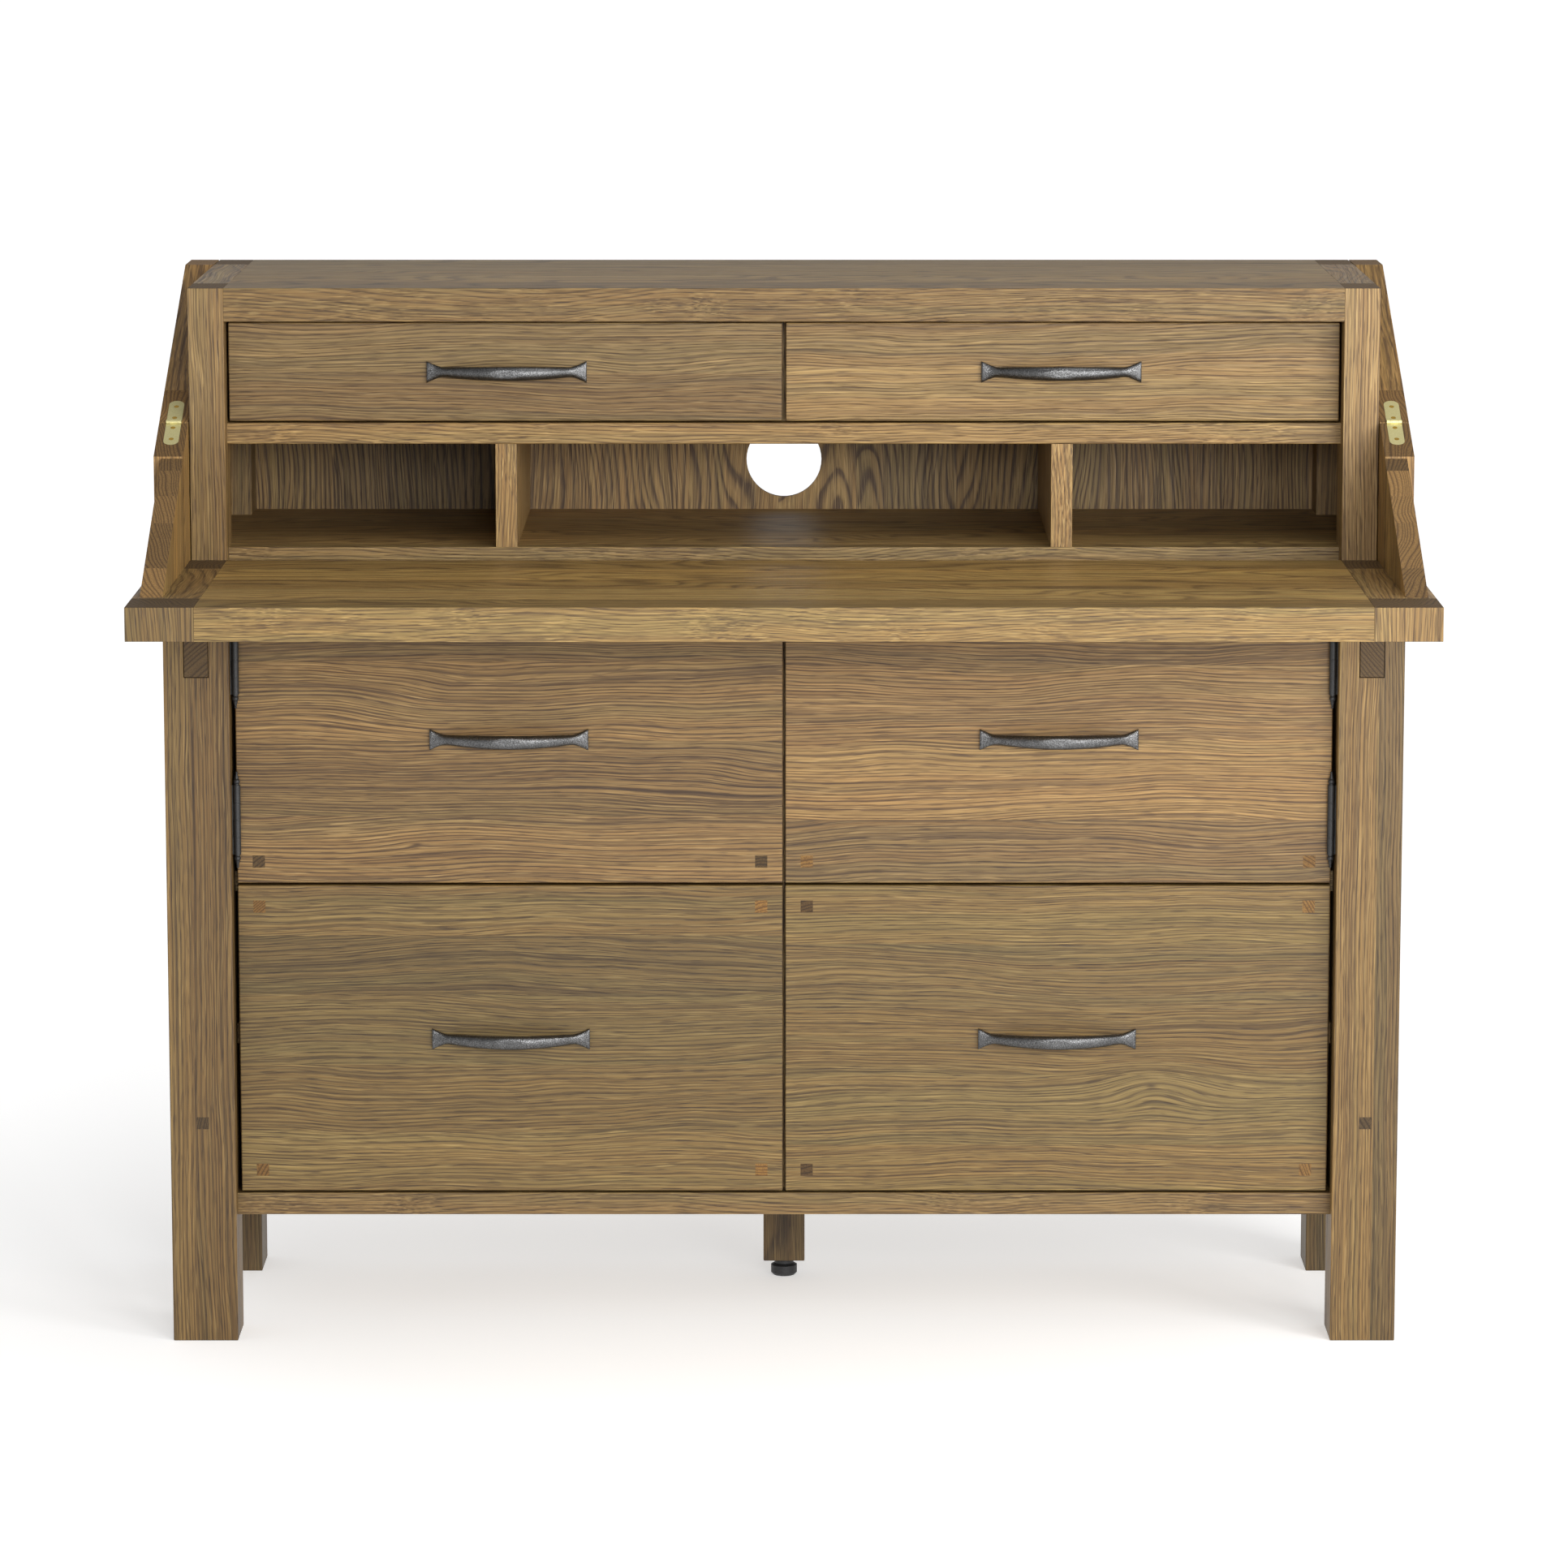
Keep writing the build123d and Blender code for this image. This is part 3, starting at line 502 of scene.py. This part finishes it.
def glued(node, axis, shares, tones=None):
    """Planks side by side along an axis, from each one's share of the whole and its tone."""
    low, high = node_span(node, "xyz".index(axis))
    places, done = [], 0.0
    for share in shares[:-1]:
        done += share
        places.append(low + (high - low) * done / sum(shares))
    return (axis, places, tones) if tones else (axis, places)


def spot(node, along, up):
    """A point on the front of a node, from its share of the width and of the height."""
    low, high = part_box(node)
    return (low.x + (high.x - low.x) * along, low.y, low.z + (high.z - low.z) * up)


# the pegs' nodes, the number of their grain, the tones of each node's left and right ones, tint
PEG_LOOKS = (("door_pegs_left", 110, (0.60, 0.58), (1.06, 1.0, 0.80)),
             ("file_drawer_pegs_left", 114, (1.25, 1.38), (1.14, 0.96, 0.60)),
             ("door_pegs_right", 118, (0.95, 1.25), (1.12, 0.97, 0.64)),
             ("file_drawer_pegs_right", 112, (0.60, 1.02), (1.10, 0.97, 0.68)))


def dress_wood():
    """Every wooden node, with the direction its boards run."""
    dress("leg_front_left",
          oak("leg_left", "z", "x", 3, glued("leg_front_left", "x", (38, 62), (0.90, 0.86)),
              figure=0.5, tone=LEG_SHADE_AND_TONE, tint=(1.02, 0.97, 0.86)))
    dress("leg_front_right",
          oak("leg_right", "z", "x", 8, glued("leg_front_right", "x", (62, 38), (0.98, 0.92)),
              figure=0.5, tone=LEG_SHADE_AND_TONE, tint=(1.02, 0.99, 0.91)))
    dress("rear_legs", oak("rear_legs", "z", "x", 120, figure=0.5, tone=REAR_LEG_SHADE_AND_TONE, sides=True))
    dress("leg_pegs", oak("leg_pegs", "y", "x", 122, tone=0.62))
    eyes = [(spot("door_left", along, up), 0.013, 0.0040, 0.0018, 0.40) for along, up in
            ((0.72, 0.865), (0.90, 0.868), (0.33, 0.135), (0.56, 0.86))]
    dress("door_left",
          oak("door_left", "x", "z", 33,
              glued("door_left", "z", (66, 74, 78, 65), (1.04, 0.72, 1.03, 0.69)),
              knots=eyes, lines=1.1, tint=(1.02, 0.99, 0.95)))
    dress("door_right",
          oak("door_right", "x", "z", 44,
              glued("door_right", "z", (62, 80, 72, 69), (0.85, 1.08, 0.83, 0.73)),
              lines=1.05, tint=(1.02, 0.99, 0.97)))
    dress("file_drawer_front_left",
          oak("file_left", "x", "z", 52,
              glued("file_drawer_front_left", "z", (60, 66, 70, 58, 50), (0.77, 0.62, 0.78, 0.58, 0.71)),
              tint=(0.97, 0.99, 0.88)))
    whorl = [(spot("file_drawer_front_right", 0.675, 0.345), 0.052, 0.024, 0.015, 0.10)]
    dress("file_drawer_front_right",
          oak("file_right", "x", "z", 61,
              glued("file_drawer_front_right", "z", (46, 70, 64, 66, 58), (0.77, 0.89, 0.70, 0.68, 0.86)),
              knots=whorl, tint=(0.97, 0.99, 0.88)))
    dress("hutch_drawer_front_left",
          oak("hutch_front_left", "x", "z", 71,
              glued("hutch_drawer_front_left", "z", (46, 49), (0.72, 0.84))))
    dress("hutch_drawer_front_right",
          oak("hutch_front_right", "x", "z", 85,
              glued("hutch_drawer_front_right", "z", (52, 43), (1.02, 0.88))))
    for side, seed in (("left", 3), ("right", 8)):
        dress(f"loper_{side}", oak(f"loper_{side}", "y", "z", seed + 20, figure=0.5, tone=0.7))
        for kind, thick in (("file", FILE_SIDE), ("hutch", HUTCH_SIDE)):
            node = f"{kind}_drawer_box_{side}"
            dress(node, oak(node, "x", "z", 90 + seed, other=("y", "z"),
                            pick=near_x_ends(node, thick), tone=1.15))
    for node, seed, tones, tint in PEG_LOOKS:
        low, high = node_span(node, 0)
        halves = ("x", [(low + high) / 2], tones)
        dress(node, oak(node, "y", "x", seed, halves, tint=tint))
    dress("base_side_frames",
          oak("side_frames", "z", "y", 124, other=("y", "z"), pick=outside(PANEL_LOW, PANEL_HIGH),
              sides=True))
    dress("base_inner_sides", oak("inner_sides", "z", "y", 126, tone=1.1, sides=True))
    dress("base_bottom_board", oak("bottom_board", "x", "y", 128, tone=0.93))
    dress("base_back_panel",
          oak("back_panel", "z", "x", 130, glued("base_back_panel", "x", (1,) * 12)))
    dress("base_partition", oak("partition", "z", "y", 132, tone=1.1))
    dress("base_mid_shelves", oak("mid_shelves", "x", "y", 134, tone=1.1))
    dress("deck_board", oak("deck_board", "x", "y", 136))
    # the middle leg is darkened far below the other legs: painted shade under the cabinet
    dress("center_leg", oak("center_leg", "z", "x", 138, tone=0.46))
    dress("loper_guides", oak("loper_guides", "y", "x", 140))
    dress("drawer_runners", oak("drawer_runners", "y", "z", 142, tone=1.15))
    dress("hutch_posts", oak("hutch_posts", "z", "x", 144, figure=0.5, tone=1.09, sides=True))
    dress("hutch_side_panels",
          oak("hutch_sides", "z", "y", 146, other=("y", "x"), pick=above(TOP_LOW), sides=True))
    rail_knot = [(spot("hutch_top", 0.407, 0.48), 0.030, 0.011, 0.006, 0.14)]
    dress("hutch_top",
          oak("hutch_top", "x", "y", 148,
              glued("hutch_top", "y", (70, 80, 62, 74, 68), (0.91, 0.99, 0.96, 1.02, 0.97)),
              knots=rail_knot, tint=(1, 1, 0.93)))
    dress("hutch_shelf",
          oak("hutch_shelf", "x", "y", 150, glued("hutch_shelf", "y", (1, 1, 1, 1)), tone=1.12))
    # the cubby floor's planks are lightened well past the other wood: painted light that makes up for the
    # shade inside the cubbies
    dress("hutch_floor",
          oak("hutch_floor", "x", "y", 152,
              glued("hutch_floor", "y", (22, 95, 95, 106), (1.08, 1.45, 1.40, 1.45))))
    # the dividers are lightened: painted light against the shade inside the cubbies
    dress("hutch_dividers", oak("hutch_dividers", "z", "y", 154, ("x", (0.0,)), tone=1.40))
    # the back panel's planks are lightened, most in the middle cubby: painted light in the cubbies' shade,
    # taken back off the outside face by behind
    dress("hutch_back_panel",
          oak("hutch_back", "z", "x", 156,
              glued("hutch_back_panel", "x", (7, 9, 8, 6, 9, 8, 7, 9, 8, 7, 9, 8),
                    (1.05, 0.92, 0.90, 1.25, 1.42, 1.30, 1.45, 1.38, 1.25, 1.18, 1.30, 1.15)),
              lines=1.3, behind=0.75))
    dress("wing_stiles",
          oak("wing_stiles", "z", "y", 158, tone=1.25, tint=(1.06, 0.98, 0.80), sides=True))
    dress("wing_rails",
          oak("wing_rails", "y", "z", 160, other=("slope", None), pick=above(WING_BEND),
              tint=(1.05, 0.93, 0.78), sides=True))
    dress("wing_panels",
          oak("wing_panels", "z", "y", 162, glued("wing_panels", "y", (1, 1, 1, 1)), sides=True))
    dress("worktop_panel",
          oak("worktop", "x", "y", 164,
              glued("worktop_panel", "y", (56, 74, 70, 76, 69), (0.94, 1.41, 1.30, 1.43, 1.32)),
              tint=(1, 1, 0.87)))
    dress("worktop_end_rails", oak("worktop_ends", "y", "x", 166, sides=True))
    dress("worktop_corner_blocks",
          oak("corner_blocks", "z", "x", 168, ("x", (0.0,), (0.66, 0.94)), sides=True,
              tint=(1, 0.98, 0.88)))
    dress("top_wing_stiles",
          oak("top_wing_stiles", "z", "y", 170, tone=1.25, tint=(1.06, 0.98, 0.80), sides=True))
    dress("top_wing_panels",
          oak("top_wing_panels", "z", "y", 172,
              glued("top_wing_panels", "y", (46, 72, 44, 42, 20), (1.06, 0.78, 0.92, 0.98, 0.72)),
              tone=1.35, tint=(1.02, 0.97, 0.86), sides=True))


# ---------------------------------------------------------------- metal and plastic


def metal(name, colour, dark, rough, speckle, cells, metallic):
    """Cast, painted or moulded surface, uneven at so many noise cells to the metre."""
    material = bpy.data.materials.new(name)
    material.use_nodes = True
    g = Graph(material.node_tree)
    shader = material.node_tree.nodes["Principled BSDF"]
    place = g.put("ShaderNodeTexCoord").outputs["Object"]
    grit = g.noise(place, cells, 3.0, 0.6)
    cloud = g.noise(place, cells / 9)
    base = g.mix(g.span(grit, 0.40, 0.62, 0.0, 1.0), dark + (1,), colour + (1,))
    base = g.mix(g.span(cloud, 0.35, 0.7, 0.0, 0.35), base, dark + (1,))
    g.feed(shader.inputs["Base Color"], base)
    shader.inputs["Metallic"].default_value = metallic
    g.feed(shader.inputs["Roughness"], g.span(grit, 0.3, 0.7, rough + 0.14, rough - 0.06))
    bump = g.put("ShaderNodeBump", Height=grit, Strength=speckle, Distance=BUMP_DEPTH)
    g.feed(shader.inputs["Normal"], bump.outputs["Normal"])
    return material


def dress_hardware():
    """Hinges, screws, glide and catches."""
    brass = metal("satin_brass", (0.72, 0.66, 0.33), (0.60, 0.54, 0.25), 0.34, 0.06, 1400, 0.55)
    bright = metal("bright_brass", (0.80, 0.52, 0.07), (0.42, 0.24, 0.03), 0.22, 0.04, 1400, 0.8)
    black = metal("black_steel", (0.034, 0.034, 0.035), (0.018, 0.018, 0.018), 0.40, 0.06, 1100, 0.3)
    plastic = metal("black_plastic", (0.022, 0.022, 0.023), (0.012, 0.012, 0.013), 0.45, 0.05, 700, 0.0)
    for node in nodes:
        if node.startswith("flap_hinge"):
            dress(node, bright if "screws" in node else brass)
        if node.startswith("door_hinge"):
            dress(node, black)
    dress("levelling_glide", plastic)
    dress("door_catches", plastic)


# ---------------------------------------------------------------- pulls

PULL_RINGS = 56
PULL_SIDES = 20
PULL_NECK = 0.80  # where the bar ends and a foot begins, as a share of half the length
PULL_ARCH = 0.0208  # how far the middle of the bar stands out from the feet
PULL_SEAT = 0.0019  # how far the feet's centre line stands out from the drawer
PULL_BLEND = (-0.10, -0.05, 0.0, 0.05, 0.10)  # the bow is averaged over these, which rounds the neck
PULL_NUDGE = 0.02  # step to each side for the bar's direction
PULL_CLOSER = 0.35  # how much closer the rings stand towards the feet
PULL_CLEARANCE = 0.0001


def pull_bow(t):
    """How far the bar stands out at t, from -1 to 1 along a pull."""
    arches = [PULL_ARCH * (1 - min(1.0, abs(t + step) / PULL_NECK) ** 2) for step in PULL_BLEND]
    return sum(arches) / len(arches) + PULL_SEAT


def pull_section(t, half):
    """Centre line, height and depth of the bar at t from -1 to 1 along a pull."""
    neck = min(1.0, abs(t) / PULL_NECK)
    flare = max(0.0, (abs(t) - PULL_NECK) / (1 - PULL_NECK))
    deep = 0.0045 - 0.0028 * max(0.0, (abs(t) - 0.7) / 0.3)
    tall = 0.0068 - 0.0020 * neck ** 2 + 0.0057 * flare ** 1.4
    return Vector((t * half, -pull_bow(t), 0.0)), tall, deep


def make_pull(name, node, body, material):
    """A bowed cast pull with fishtail ends, over the CAD bar of the same size."""
    low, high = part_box(node)
    middle = (low + high) / 2
    half = (high.x - low.x) / 2
    mesh = bmesh.new()
    rings = []
    for i in range(PULL_RINGS + 1):
        t = -1 + 2 * i / PULL_RINGS
        t = math.sin(t * math.pi / 2) * PULL_CLOSER + t * (1 - PULL_CLOSER)
        centre, tall, deep = pull_section(t, half)
        ahead = pull_section(t + PULL_NUDGE, half)[0] - pull_section(t - PULL_NUDGE, half)[0]
        out = Vector((ahead.y, -ahead.x, 0)).normalized()
        ring = []
        square = 1.0 - 0.25 * abs(t)
        for j in range(PULL_SIDES):
            turn = 2 * math.pi * j / PULL_SIDES
            up = math.copysign(abs(math.sin(turn)) ** square, math.sin(turn)) * tall
            side = math.copysign(abs(math.cos(turn)) ** square, math.cos(turn)) * deep
            point = Vector((middle.x, high.y, middle.z)) + centre + out * side + Vector((0, 0, up))
            point.x = min(max(point.x, low.x), high.x)
            point.y = min(max(point.y, low.y), high.y - PULL_CLEARANCE)
            ring.append(mesh.verts.new(point))
        rings.append(ring)
    for a, b in zip(rings, rings[1:]):
        for j in range(PULL_SIDES):
            k = (j + 1) % PULL_SIDES
            mesh.faces.new((a[j], a[k], b[k], b[j]))
    mesh.faces.new(rings[0][::-1])
    mesh.faces.new(rings[-1])
    bmesh.ops.recalc_face_normals(mesh, faces=mesh.faces)
    data = bpy.data.meshes.new(name)
    mesh.to_mesh(data)
    mesh.free()
    for polygon in data.polygons:
        polygon.use_smooth = True
    data.materials.append(material)
    pull = bpy.data.objects.new(name, data)
    scene.collection.objects.link(pull)
    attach(pull, body)
    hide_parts(node)


def make_pulls():
    """All six pulls."""
    pewter = metal("antique_pewter", (0.175, 0.175, 0.177), (0.055, 0.055, 0.055), 0.25, 0.50, 1100, 0.9)
    for side in ("left", "right"):
        for kind in ("hutch_drawer", "door", "file_drawer"):
            make_pull(f"cast_{kind}_pull_{side}", f"{kind}_pull_{side}", f"{kind}_{side}", pewter)


make_camera()
make_studio()
dress_wood()
dress_hardware()
make_pulls()
